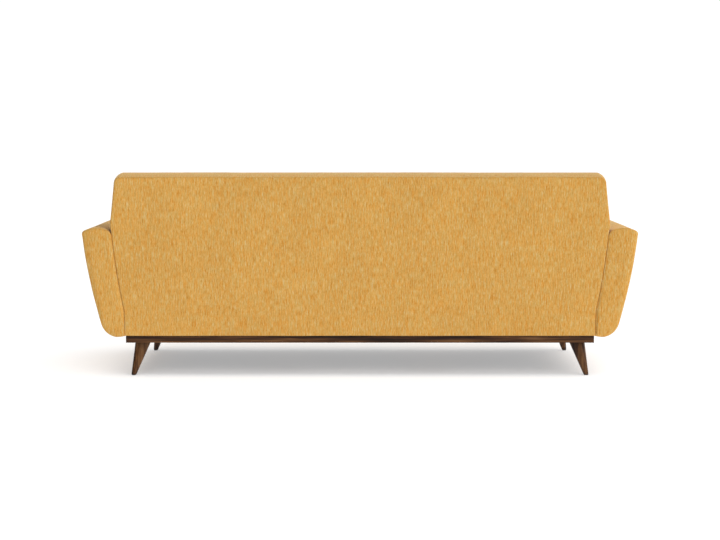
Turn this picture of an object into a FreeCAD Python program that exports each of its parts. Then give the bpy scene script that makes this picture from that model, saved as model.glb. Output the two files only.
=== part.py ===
"""Three-seat sofa with a raked box back, crowned slab arms and a walnut plinth on splayed legs.

Millimetres. The origin is on the floor under the middle of the sofa's outline. +Z is up, the sofa
faces -Y, and +X is the sitter's left. One STEP file is written for each sub-part.
"""
import FreeCAD, Part
import math
import os

V = FreeCAD.Vector

# Whole sofa
OVERALL_DEPTH = 934.0
BODY_BOTTOM = 163.0
BACK_EDGE_HEIGHT = 799.0        # rear top edge of the back
FAR = 1500.0                    # well past the sofa, for cutting tools
FABRIC = 2.0                    # covers
PAST = 9.0                      # how far a cutting tool runs past an open side

# Back: a slab leaning backward, cut square to the lean
RAKE = 7.5
BACK_THICKNESS = 128.0
BACK_HALF_WIDTH = 986.0
BACK_TOP_HALF_WIDTH = 966.0
BACK_SIDE_TURN = 450.0          # how far up the back its sides begin to lean in
BACK_CORNER = 26.0
BACK_SIDE_FOAM = 20.0
BACK_FRAME_FRONT = -84.0        # from the rear face, square to the lean
BACK_FRAME_REAR = -8.0
BACK_BOARD = 4.0
BACK_POSTS_X = (-888.0, -302.0, 302.0, 888.0)
BACK_POST_HALF_WIDTH = 20.0
BACK_TOP_RAIL_Z = (590.0, 618.0)        # up the lean
BACK_FOOT_RAIL_Y = (308.0, 348.0)
BACK_FOOT_RAIL_TOP = 232.0
WEB_WIDTH = 50.0
WEB_THICKNESS = 2.0
WEBS_ACROSS_Z = (170.0, 285.0, 400.0, 515.0)
WEBS_UPRIGHT_X = (-755.0, -453.0, -151.0, 151.0, 453.0, 755.0)
WEBS_UPRIGHT_FOOT = 100.0

# Arms: one section swept from front to rear
ARM_INNER = 938.0
ARM_CREST = 599.0
ARM_BOTTOM = 157.5
ARM_INNER_FOOT = 162.0          # height of the arm's bottom against the body
ARM_FOOT = 976.0                # where the rounded outer foot begins
ARM_FRONT_LEAN = 0.065          # forward for each unit up
ARM_FOAM = 20.0                 # depth from the outside of the cover to the plywood
ARM_PLYWOOD = 4.0
ARM_RIB = 18.0
ARM_RIBS_Y = (-395.0, -150.0, 95.0, 325.0)
ARM_TOP_RAIL_X = (1010.0, 1055.0)
ARM_TOP_RAIL_Z = (535.0, 565.0)
ARM_LOW_RAIL_OUTER = 986.0
ARM_LOW_RAIL_Z = (205.0, 255.0)
ARM_BOLTS_Y = (-290.0, 130.0)
ARM_BOLTS_Z = (215.0, 240.0)
ARM_BOLT_TIP = 1000.0
ARM_BOLT_HEAD = 5.0
CLEARANCE = 0.5                 # between the back and the arms

# Seat frame
RAIL = 28.0
SEAT_FRAME_X = 932.0
SEAT_FRAME_FRONT = -422.0
SEAT_FRAME_REAR = 253.0
SEAT_FRAME_TOP = 262.0
CROSS_RAIL_TOP = 236.0
CORNER_BLOCK = 70.0             # along each rail
CORNER_BLOCK_HEIGHT = 60.0
CORNER_BLOCK_LIFT = 8.0
DUST_COVER = 1.0
DECK_BOTTOM = 278.0
DECK_TOP = 298.0
DECK_REAR = 268.0
BORDER_FRONT = -434.0
BORDER_X = 936.0
SPRINGS = 12
SPRING_WIRE = 3.6
SPRING_TURN = 13.0              # radius of each bend
SPRING_RUN = 24.0               # straight run between bends
SPRING_BENDS = 25
SPRING_Z = 270.0
SPRING_MARGIN = 60.0            # from the frame's side to the first spring
CLIP_WIDTH = 18.0
CLIP_DEPTH = 14.0
CLIP_TOP = 6.0                  # above the wire's middle
CLIP_ROOM = 0.2                 # round the wire
TIE_WIRE_RADIUS = 1.6
TIE_WIRE_X = 900.0
TIE_WIRES_Y = (-230.0, -10.0)

# Cushions
CUSHIONS = 3
CUSHION_ROW = 938.0             # half the width of the row
CUSHION_GAP = 2.0
CUSHION_COVER = 3.0
CUSHION_EDGE = 18.0
SEAT_CUSHION_FRONT = -452.0
SEAT_CUSHION_REAR = 141.0
CUSHION_BOTTOM = DECK_TOP + 0.5
SEAT_CUSHION_TOP = 440.0
BACK_CUSHION_THICKNESS = 126.0
BACK_CUSHION_TOP = 600.0        # up the lean, from the level of the body's bottom
BACK_CUSHION_CLEARANCE = 0.7

# Plinth and legs
PLINTH_X = 937.0
PLINTH_FRONT = -422.0
PLINTH_REAR = 370.0
PLINTH_HEIGHT = 29.0
PLINTH_WIDTH = 92.0
STRETCHERS_X = (-310.0, 310.0)
STRETCHER_HALF_WIDTH = 35.0
LEG_TOP_X = 876.0
LEG_FOOT_X = 910.0
LEG_TOP_Y = (-360.0, 308.0)
LEG_SPLAY_Y = 36.0
LEG_TOP_RADIUS = 30.5
LEG_FOOT_RADIUS = 9.8
GLIDE_RADIUS = 8.5
GLIDE = 4.0
LEG_OVERRUN = 0.25              # of the leg's length past each level cut
BOLT_RADIUS = 4.0
HANGER_BOLT = 62.0
HANGER_BOLT_IN_LEG = 35.0
T_NUT_RADIUS = 6.0
T_NUT_HEIGHT = 14.0
T_NUT_FLANGE_RADIUS = 11.0
T_NUT_FLANGE = 1.5
SCREW_RADIUS = 2.5
SCREW_TIP = BODY_BOTTOM + 35.0
SCREWS_X = (-760.0, -456.0, -152.0, 152.0, 456.0, 760.0)
SCREWS_REAR_Y = 328.0

BACK_FOOT_Y = OVERALL_DEPTH / 2 - (BACK_EDGE_HEIGHT - BODY_BOTTOM) * math.tan(math.radians(RAKE))
BACK_LENGTH = (BACK_EDGE_HEIGHT - BODY_BOTTOM) / math.cos(math.radians(RAKE))
ARM_FRONT_FOOT = -OVERALL_DEPTH / 2 + (ARM_CREST - BODY_BOTTOM) * ARM_FRONT_LEAN
FRAME_BOTTOM = BODY_BOTTOM + DUST_COVER
PLINTH_BOTTOM = BODY_BOTTOM - PLINTH_HEIGHT


def box(x, y, z):
    """A box from its (low, high) pair along each axis."""
    return Part.makeBox(x[1] - x[0], y[1] - y[0], z[1] - z[0], V(x[0], y[0], z[0]))


def arc(start, through, end):
    """An arc in the XZ plane through three (x, z) points."""
    return Part.Arc(*(V(x, 0, z) for x, z in (start, through, end))).toShape()


def line(start, end):
    """A straight edge in the XZ plane between two (x, z) points."""
    return Part.makeLine(V(start[0], 0, start[1]), V(end[0], 0, end[1]))


def section(edges, inset):
    """A face in the XZ plane inside the closed outline, moved in by inset."""
    wire = Part.Wire(edges)
    if inset:
        wire = wire.makeOffset2D(-inset)
    return Part.Face(wire)


def swept(face, y_low, y_high):
    """A face in the XZ plane swept along Y."""
    return face.translated(V(0, y_low, 0)).extrude(V(0, y_high - y_low, 0))


def cut_all(shape, *tools):
    """The shape with every tool taken away."""
    for tool in tools:
        shape = shape.cut(tool)
    return shape


def mirrored(shape):
    """The same piece on the sitter's other side."""
    return shape.mirror(V(0, 0, 0), V(1, 0, 0))


def save(name, *pieces):
    """Write one sub-part; several pieces make a group of separate solids."""
    solids = [solid for piece in pieces for solid in piece.Solids]
    shape = solids[0] if len(solids) == 1 else Part.makeCompound(solids)
    shape.exportStep(os.path.join("parts", name + ".step"))


def save_sides(name, piece):
    """Write a sub-part for the sitter's left and its mirror image for the right."""
    save(name + "_left", piece)
    save(name + "_right", mirrored(piece))


# ---------------------------------------------------------------- arms

def arm_section(inset):
    """The left arm across the sofa: leaning sides, a crowned top and a rounded outer foot."""
    foot = (ARM_FOOT, ARM_BOTTOM)
    outer_low = (1033.5, 211.0)
    outer_high = (1097.0, 566.0)
    top_outer = (1089.0, 587.5)
    top_inner = (1003.0, 592.5)
    inner_high = (977.5, 552.0)
    inner_low = (ARM_INNER, 262.0)
    inner_foot = (ARM_INNER, ARM_INNER_FOOT)
    edges = [
        arc(foot, (1012.0, 175.5), outer_low),
        arc(outer_low, (1073.0, 388.0), outer_high),
        arc(outer_high, (1097.3, 579.0), top_outer),
        arc(top_outer, (1044.0, ARM_CREST), top_inner),
        arc(top_inner, (984.0, 579.0), inner_high),
        arc(inner_high, (961.0, 400.0), inner_low),
        line(inner_low, inner_foot),
        arc(inner_foot, (956.0, 158.6), foot),
    ]
    return section(edges, inset)


def rear_plane_y(z):
    """Where the rear face of the sofa is at a height."""
    return BACK_FOOT_Y + (z - BODY_BOTTOM) * math.tan(math.radians(RAKE))


def front_plane_y(z):
    """Where the front of the arms is at a height."""
    return ARM_FRONT_FOOT - (z - BODY_BOTTOM) * ARM_FRONT_LEAN


def between_ends(inset):
    """Everything between the arms' leaning front and raked rear faces, moved in by inset."""
    low, high = 0.0, ARM_CREST + FAR
    corners = [
        V(0, front_plane_y(low) + inset, low),
        V(0, rear_plane_y(low) - inset, low),
        V(0, rear_plane_y(high) - inset, high),
        V(0, front_plane_y(high) + inset, high),
    ]
    face = Part.Face(Part.makePolygon(corners + corners[:1]))
    return face.extrude(V(FAR, 0, 0))


def arm_body(inset):
    """The left arm as one solid, moved in by inset on every side."""
    return swept(arm_section(inset), -FAR, FAR).common(between_ends(inset))


def arm_mouth(inset):
    """The opening under the arm that the frame shows through."""
    y = (front_plane_y(ARM_BOTTOM) + inset, rear_plane_y(ARM_BOTTOM) - inset)
    return box((ARM_INNER + inset, ARM_FOOT), y, (ARM_BOTTOM - 1, ARM_INNER_FOOT + inset + 1))


def arm_bolt_places():
    """Where the bolts through the seat frame into the arm are: (y, z)."""
    return [(y, z) for y in ARM_BOLTS_Y for z in ARM_BOLTS_Z]


def bolt_along_x(radius, x, y, z):
    """A round bar along X between a low and a high x."""
    return Part.makeCylinder(radius, x[1] - x[0], V(x[0], y, z), V(1, 0, 0))


def build_arms():
    """Cover, foam, bent plywood, ribs and rails of each arm, and the bolts that hold them."""
    shank_x = (SEAT_FRAME_X - RAIL, ARM_BOLT_TIP)
    holes = [bolt_along_x(BOLT_RADIUS, shank_x, y, z) for y, z in arm_bolt_places()]
    plywood_in = ARM_FOAM + ARM_PLYWOOD

    cover = cut_all(arm_body(0), arm_body(FABRIC), arm_mouth(FABRIC), *holes)
    foam = cut_all(arm_body(FABRIC), arm_body(ARM_FOAM), arm_mouth(ARM_FOAM), *holes)
    hollow = swept(arm_section(plywood_in), -FAR, FAR)
    plywood = cut_all(arm_body(ARM_FOAM), hollow, *holes)

    rail_y = (ARM_RIBS_Y[0], ARM_RIBS_Y[-1] + ARM_RIB)
    top_rail = box(ARM_TOP_RAIL_X, rail_y, ARM_TOP_RAIL_Z)
    low_rail = hollow.common(box((ARM_INNER, ARM_LOW_RAIL_OUTER), rail_y, ARM_LOW_RAIL_Z))
    ribs = [swept(arm_section(plywood_in), y, y + ARM_RIB) for y in ARM_RIBS_Y]
    ribs = [cut_all(rib, top_rail, low_rail) for rib in ribs]

    save_sides("arm_cover", cover)
    save_sides("arm_foam", foam)
    save_sides("arm_plywood", plywood)
    save_sides("arm_ribs", Part.makeCompound(ribs))
    save_sides("arm_rails", Part.makeCompound([top_rail, cut_all(low_rail, *holes)]))

    bolts = []
    for shank, (y, z) in zip(holes, arm_bolt_places()):
        head = bolt_along_x(BOLT_RADIUS * 2, (shank_x[0] - ARM_BOLT_HEAD, shank_x[0]), y, z)
        bolts.append(shank.fuse(head).removeSplitter())
    bolts = Part.makeCompound(bolts)
    save("arm_bolts", bolts, mirrored(bolts))


# ---------------------------------------------------------------- back

def leaned(shape):
    """A shape drawn upright from the back's rear foot, turned to the lean."""
    placed = shape.translated(V(0, BACK_FOOT_Y, BODY_BOTTOM))
    placed.rotate(V(0, BACK_FOOT_Y, BODY_BOTTOM), V(1, 0, 0), -RAKE)
    return placed


def back_section(inset):
    """The back's outline seen square to its face, with rounded top corners."""
    corner_z = BACK_LENGTH - BACK_CORNER
    bend = BACK_CORNER * (1 - math.sqrt(0.5))
    foot = (BACK_HALF_WIDTH, BACK_FRAME_FRONT)
    side = [
        (foot, (BACK_HALF_WIDTH, BACK_SIDE_TURN)),
        ((BACK_HALF_WIDTH, BACK_SIDE_TURN), (BACK_TOP_HALF_WIDTH, corner_z)),
    ]
    corner = (
        (BACK_TOP_HALF_WIDTH, corner_z),
        (BACK_TOP_HALF_WIDTH - bend, BACK_LENGTH - bend),
        (BACK_TOP_HALF_WIDTH - BACK_CORNER, BACK_LENGTH),
    )
    right = [line(*ends) for ends in side] + [arc(*corner)]
    left = [edge.mirror(V(0, 0, 0), V(1, 0, 0)) for edge in right]
    top = line(corner[2], (-corner[2][0], BACK_LENGTH))
    bottom = line((-foot[0], foot[1]), foot)
    edges = Part.__sortEdges__(right + left + [top, bottom])
    return section(edges, inset)


def back_slab(inset, front, rear, bottom=BODY_BOTTOM):
    """The part of the back between two depths, clear of both arms and cut level at the bottom."""
    slab = leaned(swept(back_section(inset), front, rear))
    beside = swept(arm_section(0).makeOffset2D(CLEARANCE + inset), -FAR, FAR)
    below = box((-FAR, FAR), (-FAR, FAR), (-FAR, bottom))
    return cut_all(slab, beside, mirrored(beside), below)


def build_back():
    """Cover, foam, board and frame of the back."""
    thick = BACK_THICKNESS
    below = BODY_BOTTOM - PAST
    inside = back_slab(FABRIC, FABRIC - thick, PAST, below)
    cover = back_slab(0, -thick, 0).cut(inside)
    outside = back_slab(FABRIC, -FABRIC, 0)
    board_front = -FABRIC - BACK_BOARD
    board = back_slab(FABRIC, board_front, -FABRIC)
    hollow = back_slab(BACK_SIDE_FOAM, BACK_FRAME_FRONT, PAST, below)
    foam = back_slab(FABRIC, FABRIC - thick, board_front).cut(hollow)
    save("back_cover", cover)
    save("outside_back_cover", outside)
    save("outside_back_board", board)
    save("back_foam", foam)

    web = WEB_THICKNESS
    frame_y = (BACK_FRAME_FRONT + 2 * web, BACK_FRAME_REAR)
    post_half = BACK_POST_HALF_WIDTH
    rail_x = (BACK_POSTS_X[0] - post_half, BACK_POSTS_X[-1] + post_half)
    post_z = (0.0, BACK_TOP_RAIL_Z[0])
    top_rail = box(rail_x, frame_y, BACK_TOP_RAIL_Z)
    foot_rail = box(rail_x, BACK_FOOT_RAIL_Y, (FRAME_BOTTOM, BACK_FOOT_RAIL_TOP))
    posts = [box((x - post_half, x + post_half), frame_y, post_z) for x in BACK_POSTS_X]
    below_posts = box((-FAR, FAR), (-FAR, FAR), (-FAR, BACK_FOOT_RAIL_TOP))
    save("back_top_rail", leaned(top_rail))
    save("back_foot_rail", cut_all(foot_rail, *screw_holes()))
    save("back_posts", *(leaned(post).cut(below_posts) for post in posts))

    across_y = (BACK_FRAME_FRONT, BACK_FRAME_FRONT + web)
    upright_y = (across_y[1], across_y[1] + web)
    upright_z = (WEBS_UPRIGHT_FOOT, BACK_TOP_RAIL_Z[0])
    half_web = WEB_WIDTH / 2
    across = [box(rail_x, across_y, (z, z + WEB_WIDTH)) for z in WEBS_ACROSS_Z]
    upright = [box((x - half_web, x + half_web), upright_y, upright_z) for x in WEBS_UPRIGHT_X]
    save("back_webbing_across", *(leaned(strap) for strap in across))
    save("back_webbing_upright", *(leaned(strap) for strap in upright))


# ---------------------------------------------------------------- seat

def corner_block(x, y, x_way, y_way):
    """A three-sided block glued into an inside corner of the seat frame."""
    corner = V(x, y, FRAME_BOTTOM + CORNER_BLOCK_LIFT)
    along_x = V(x_way * CORNER_BLOCK, 0, 0)
    along_y = V(0, y_way * CORNER_BLOCK, 0)
    outline = Part.makePolygon([corner, corner + along_x, corner + along_y, corner])
    return Part.Face(outline).extrude(V(0, 0, CORNER_BLOCK_HEIGHT))


def spring_path():
    """A flat zigzag along Y: straight runs joined by half-round bends."""
    edges = []
    half_run = SPRING_RUN / 2
    pitch = 2 * SPRING_TURN
    y = -pitch * SPRING_BENDS / 2
    side = 1
    edges.append(Part.makeLine(V(0, y, 0), V(half_run, y, 0)))
    for bend in range(SPRING_BENDS):
        start = V(side * half_run, y, 0)
        middle = V(side * (half_run + SPRING_TURN), y + SPRING_TURN, 0)
        end = V(side * half_run, y + pitch, 0)
        edges.append(Part.Arc(start, middle, end).toShape())
        reach = 0 if bend == SPRING_BENDS - 1 else -side * half_run
        edges.append(Part.makeLine(end, V(reach, y + pitch, 0)))
        y += pitch
        side = -side
    return Part.Wire(edges)


def build_springs():
    """Sinuous springs from front rail to back rail, their clips and the wires that tie them."""
    path = spring_path()
    start = path.Edges[0].Vertexes[0].Point
    section_wire = Part.Wire(Part.makeCircle(SPRING_WIRE / 2, start, V(1, 0, 0)))
    spring = path.makePipeShell([section_wire], True, False)
    middle_y = (SEAT_FRAME_FRONT + SEAT_FRAME_REAR) / 2
    end_y = SPRING_TURN * SPRING_BENDS
    first_x = -SEAT_FRAME_X + SPRING_MARGIN
    pitch = -2 * first_x / (SPRINGS - 1)
    groove = SPRING_WIRE / 2 + CLIP_ROOM
    groove_z = (SPRING_Z - groove, SPRING_Z + groove)
    clip_z = (SEAT_FRAME_TOP, SPRING_Z + CLIP_TOP)
    springs, clips = [], []
    for number in range(SPRINGS):
        x = first_x + number * pitch
        springs.append(spring.translated(V(x, middle_y, SPRING_Z)))
        clip_x = (x - CLIP_WIDTH / 2, x + CLIP_WIDTH / 2)
        for y in (middle_y - end_y, middle_y + end_y):
            block = box(clip_x, (y - CLIP_DEPTH / 2, y + CLIP_DEPTH / 2), clip_z)
            clips.append(block.cut(box(clip_x, (y - groove, y + groove), groove_z)))
    tie_z = SPRING_Z + SPRING_WIRE / 2 + TIE_WIRE_RADIUS + CLIP_ROOM
    tie_x = (-TIE_WIRE_X, TIE_WIRE_X)
    ties = [bolt_along_x(TIE_WIRE_RADIUS, tie_x, y, tie_z) for y in TIE_WIRES_Y]
    save("seat_springs", *springs)
    save("spring_clips", *clips)
    save("spring_tie_wires", *ties)


def plinth_screw_places():
    """Where the screws from the plinth into the frame above are: (x, y)."""
    rows = (SEAT_FRAME_FRONT + RAIL / 2, SCREWS_REAR_Y)
    return [(x, y) for y in rows for x in SCREWS_X]


def screw_holes():
    """The room that the plinth screws take."""
    length = SCREW_TIP - PLINTH_BOTTOM
    places = [V(x, y, PLINTH_BOTTOM) for x, y in plinth_screw_places()]
    return [Part.makeCylinder(SCREW_RADIUS, length, place) for place in places]


def build_seat():
    """The seat frame, its springs, deck, front border and dust cover."""
    inner = SEAT_FRAME_X - RAIL
    height = (FRAME_BOTTOM, SEAT_FRAME_TOP)
    between = (SEAT_FRAME_FRONT + RAIL, SEAT_FRAME_REAR - RAIL)
    width = (-SEAT_FRAME_X, SEAT_FRAME_X)
    holes = screw_holes()
    bolts = [bolt_along_x(BOLT_RADIUS, (inner, SEAT_FRAME_X), y, z) for y, z in arm_bolt_places()]
    front = cut_all(box(width, (SEAT_FRAME_FRONT, between[0]), height), *holes)
    save("seat_rail_front", front)
    save("seat_rail_back", box(width, (between[1], SEAT_FRAME_REAR), height))
    save_sides("seat_rail", cut_all(box((inner, SEAT_FRAME_X), between, height), *bolts))
    cross_z = (FRAME_BOTTOM, CROSS_RAIL_TOP)
    cross = [box((x - RAIL / 2, x + RAIL / 2), between, cross_z) for x in STRETCHERS_X]
    save("seat_cross_rails", *cross)
    corners = []
    for x, x_way in ((-inner, 1), (inner, -1)):
        for y, y_way in ((between[0], 1), (between[1], -1)):
            corners.append(corner_block(x, y, x_way, y_way))
    save("seat_corner_blocks", *corners)
    build_springs()

    border_x = (-BORDER_X, BORDER_X)
    border_rear = BORDER_FRONT + FABRIC
    deck_y = (border_rear, DECK_REAR)
    save("seat_deck_pad", box(border_x, deck_y, (DECK_BOTTOM, DECK_TOP - FABRIC)))
    save("seat_deck_cloth", box(border_x, deck_y, (DECK_TOP - FABRIC, DECK_TOP)))
    pad_y = (border_rear, SEAT_FRAME_FRONT)
    cover_y = (BORDER_FRONT, border_rear)
    save("front_border_pad", box(border_x, pad_y, (FRAME_BOTTOM, DECK_BOTTOM)))
    save("front_border_cover", box(border_x, cover_y, (BODY_BOTTOM, DECK_TOP)))
    cloth = box(border_x, (border_rear, SEAT_FRAME_REAR), (BODY_BOTTOM, FRAME_BOTTOM))
    save("dust_cover", cut_all(cloth, *holes))


# ---------------------------------------------------------------- cushions

def rounded_box(x, y, z, inset):
    """A box with rounded edges, moved in by inset on every side."""
    spans = [(low + inset, high - inset) for low, high in (x, y, z)]
    block = box(*spans)
    return block.makeFillet(CUSHION_EDGE - inset, block.Edges)


def back_cushion(x, inset):
    """A cushion that stands on the deck and leans against the inside of the back."""
    rear = -BACK_THICKNESS - BACK_CUSHION_CLEARANCE
    block = rounded_box(x, (rear - BACK_CUSHION_THICKNESS, rear), (0.0, BACK_CUSHION_TOP), inset)
    return leaned(block).cut(box((-FAR, FAR), (-FAR, FAR), (0.0, CUSHION_BOTTOM + inset)))


def build_cushions():
    """The loose seat and back cushions, each a cover over a core."""
    width = (2 * CUSHION_ROW - (CUSHIONS - 1) * CUSHION_GAP) / CUSHIONS
    for number, place in enumerate(("right", "centre", "left")):
        low = -CUSHION_ROW + number * (width + CUSHION_GAP)
        x = (low, low + width)
        seat = (x, (SEAT_CUSHION_FRONT, SEAT_CUSHION_REAR), (CUSHION_BOTTOM, SEAT_CUSHION_TOP))
        core = rounded_box(*seat, CUSHION_COVER)
        save("seat_cushion_cover_" + place, rounded_box(*seat, 0).cut(core))
        save("seat_cushion_core_" + place, core)
        core = back_cushion(x, CUSHION_COVER)
        save("back_cushion_cover_" + place, back_cushion(x, 0).cut(core))
        save("back_cushion_core_" + place, core)


# ---------------------------------------------------------------- plinth and legs

def plan_prism(points, z):
    """A flat board from its plan."""
    corners = [V(x, y, z[0]) for x, y in points]
    return Part.Face(Part.makePolygon(corners + corners[:1])).extrude(V(0, 0, z[1] - z[0]))


def leg_top(row):
    """The middle of a left leg's top, for the front row (0) or the back row (1)."""
    return V(LEG_TOP_X, LEG_TOP_Y[row], PLINTH_BOTTOM)


def leg_foot(row):
    """The middle of a left leg's foot, splayed outward and away from the middle."""
    splay = LEG_SPLAY_Y if row else -LEG_SPLAY_Y
    return V(LEG_FOOT_X, LEG_TOP_Y[row] + splay, GLIDE)


def leg(row):
    """A straight round taper, cut level under the plinth and at the foot."""
    top, foot = leg_top(row), leg_foot(row)
    axis = top - foot
    grow = (LEG_TOP_RADIUS - LEG_FOOT_RADIUS) * LEG_OVERRUN
    length = axis.Length * (1 + 2 * LEG_OVERRUN)
    start = foot - axis * LEG_OVERRUN
    cone = Part.makeCone(LEG_FOOT_RADIUS - grow, LEG_TOP_RADIUS + grow, length, start, axis)
    return cone.common(box((-FAR, FAR), (-FAR, FAR), (GLIDE, PLINTH_BOTTOM)))


def hanger_bolt(row):
    """The bolt that is screwed into the leg and turned up into the plinth."""
    foot = leg_top(row) - V(0, 0, HANGER_BOLT_IN_LEG)
    return Part.makeCylinder(BOLT_RADIUS, HANGER_BOLT, foot)


def t_nut(row):
    """A flanged nut let into the top of the plinth, flush with it."""
    top = leg_top(row) + V(0, 0, PLINTH_HEIGHT)
    barrel = Part.makeCylinder(T_NUT_RADIUS, T_NUT_HEIGHT, top - V(0, 0, T_NUT_HEIGHT))
    flange = Part.makeCylinder(T_NUT_FLANGE_RADIUS, T_NUT_FLANGE, top - V(0, 0, T_NUT_FLANGE))
    return barrel.fuse(flange).removeSplitter().cut(hanger_bolt(row))


def build_plinth():
    """Mitred walnut boards with stretchers, the four legs and their fixings."""
    level = (PLINTH_BOTTOM, BODY_BOTTOM)
    x_in = PLINTH_X - PLINTH_WIDTH
    front_in = PLINTH_FRONT + PLINTH_WIDTH
    rear_in = PLINTH_REAR - PLINTH_WIDTH
    x_out = PLINTH_X
    front = [(-x_out, PLINTH_FRONT), (x_out, PLINTH_FRONT), (x_in, front_in), (-x_in, front_in)]
    back = [(-x_out, PLINTH_REAR), (x_out, PLINTH_REAR), (x_in, rear_in), (-x_in, rear_in)]
    side = [(x_out, PLINTH_FRONT), (x_out, PLINTH_REAR), (x_in, rear_in), (x_in, front_in)]

    fixings = [piece for row in (0, 1) for piece in (hanger_bolt(row), t_nut(row))]
    room = fixings + [mirrored(piece) for piece in fixings] + screw_holes()
    save("plinth_rail_front", cut_all(plan_prism(front, level), *room))
    save("plinth_rail_back", cut_all(plan_prism(back, level), *room))
    save_sides("plinth_rail", cut_all(plan_prism(side, level), *fixings))
    stretchers = []
    for x in STRETCHERS_X:
        width = (x - STRETCHER_HALF_WIDTH, x + STRETCHER_HALF_WIDTH)
        stretchers.append(box(width, (front_in, rear_in), level))
    save("plinth_stretchers", *stretchers)
    save("plinth_screws", *screw_holes())

    for row, name in enumerate(("leg_front", "leg_back")):
        save_sides(name, leg(row).cut(hanger_bolt(row)))
    floor_places = [leg_foot(row) - V(0, 0, GLIDE) for row in (0, 1)]
    glides = [Part.makeCylinder(GLIDE_RADIUS, GLIDE, place) for place in floor_places]
    bolts = [hanger_bolt(row) for row in (0, 1)]
    nuts = [t_nut(row) for row in (0, 1)]
    for name, pieces in (("leg_glides", glides), ("leg_hanger_bolts", bolts), ("leg_t_nuts", nuts)):
        save(name, *pieces, *(mirrored(piece) for piece in pieces))


def main():
    """Write every sub-part."""
    os.makedirs("parts", exist_ok=True)
    build_arms()
    build_back()
    build_seat()
    build_cushions()
    build_plinth()


main()
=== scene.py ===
"""Looks of the three-seat sofa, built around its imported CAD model. Metres."""
import math

import bmesh
import bpy
import numpy as np
from mathutils import Matrix, Vector, noise as field


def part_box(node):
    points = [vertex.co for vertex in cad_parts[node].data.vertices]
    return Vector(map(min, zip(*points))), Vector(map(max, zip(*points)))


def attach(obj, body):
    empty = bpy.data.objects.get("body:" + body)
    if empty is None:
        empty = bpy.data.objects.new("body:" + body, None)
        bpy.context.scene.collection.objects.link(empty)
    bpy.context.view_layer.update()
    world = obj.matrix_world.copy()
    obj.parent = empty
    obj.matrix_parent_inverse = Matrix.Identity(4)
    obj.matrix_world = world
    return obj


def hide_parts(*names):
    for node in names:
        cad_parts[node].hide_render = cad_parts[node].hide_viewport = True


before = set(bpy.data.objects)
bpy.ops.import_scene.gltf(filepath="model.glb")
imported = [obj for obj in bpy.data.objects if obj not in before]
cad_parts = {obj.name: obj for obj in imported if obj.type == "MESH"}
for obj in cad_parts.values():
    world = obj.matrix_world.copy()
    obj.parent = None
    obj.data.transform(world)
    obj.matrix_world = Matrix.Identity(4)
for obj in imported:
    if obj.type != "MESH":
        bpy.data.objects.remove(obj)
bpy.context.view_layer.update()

PLACES = ("right", "centre", "left")
SIDES = ("left", "right")

# Sizes that the CAD model has too
RAKE = math.radians(7.5)            # lean of the back
BACK_THICKNESS = 0.128
BACK_HALF_WIDTH = 0.986
BACK_TOP_HALF_WIDTH = 0.966
BACK_SIDE_TURN = 0.450              # how far up the back its sides begin to lean in
BACK_CORNER = 0.026
BACK_CUSHION_THICKNESS = 0.126
ARM_FRONT_LEAN = 0.065              # forward for each unit up

# Softness
PRESSED_IN = 0.0018                 # how far the back is pressed into each arm
EDGE_ROUND = 0.013                  # the arms' edges
EDGE_TIGHT = 0.0075                 # the arms' edges against the back and at the foot
BACK_EDGE_ROUND = 0.009
BACK_EDGE_TIGHT = 0.0045            # the back's edges between the arms
ARM_SEAM = 0.0010                   # depth
BACK_SEAM = 0.0006
CUSHION_EDGE = 0.014
CUSHION_MESH = 0.013                # size of the mesh's squares before subdivision
CUSHION_SEAM = 0.003
SEAM_CREASE = 0.8
PRESSURE = 4.0
CLOTH_FRAMES = 22


# ---------------------------------------------------------------- node materials

def new_material(name):
    """An empty node material and its tree."""
    material = bpy.data.materials.new(name)
    material.use_nodes = True
    tree = material.node_tree
    tree.nodes.clear()
    return material, tree


def node(tree, kind, **settings):
    """A node; settings name its sockets (by name) or its own properties."""
    made = tree.nodes.new(kind)
    for key, value in settings.items():
        if hasattr(made, key):
            setattr(made, key, value)
        else:
            made.inputs[key.replace("_", " ")].default_value = value
    return made


def principled(tree, **settings):
    """The surface shader, joined to the output."""
    shader = node(tree, "ShaderNodeBsdfPrincipled", **settings)
    output = node(tree, "ShaderNodeOutputMaterial")
    tree.links.new(shader.outputs[0], output.inputs["Surface"])
    return shader


def coordinates(tree, source, scale, shift=(0, 0, 0)):
    """Texture coordinates in metres, scaled and moved."""
    where = node(tree, "ShaderNodeTexCoord")
    mapping = node(tree, "ShaderNodeMapping")
    mapping.inputs["Location"].default_value = shift
    mapping.inputs["Scale"].default_value = scale
    tree.links.new(where.outputs[source], mapping.inputs["Vector"])
    return mapping.outputs["Vector"]


def noise(tree, vector, scale=1.0, detail=2.0, roughness=0.5, distortion=0.0):
    """A noise texture's grey value."""
    texture = node(tree, "ShaderNodeTexNoise", Scale=scale, Detail=detail,
                   Roughness=roughness, Distortion=distortion)
    tree.links.new(vector, texture.inputs["Vector"])
    return texture.outputs["Fac"]


def ramp(tree, value, stops):
    """A colour ramp through (position, colour) stops."""
    made = node(tree, "ShaderNodeValToRGB")
    elements = made.color_ramp.elements
    while len(elements) < len(stops):
        elements.new(0.5)
    for element, (position, colour) in zip(elements, stops):
        element.position = position
        element.color = (*colour, 1.0)
    tree.links.new(value, made.inputs["Fac"])
    return made.outputs["Color"]


def mixed(tree, first, second, share, blend="MIX"):
    """Two colours mixed; share is a number or a socket."""
    made = node(tree, "ShaderNodeMix", data_type="RGBA", blend_type=blend)
    factor, a, b = made.inputs[0], made.inputs[6], made.inputs[7]
    for socket, value in ((factor, share), (a, first), (b, second)):
        if isinstance(value, bpy.types.NodeSocket):
            tree.links.new(value, socket)
        else:
            socket.default_value = value
    return made.outputs[2]


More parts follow.
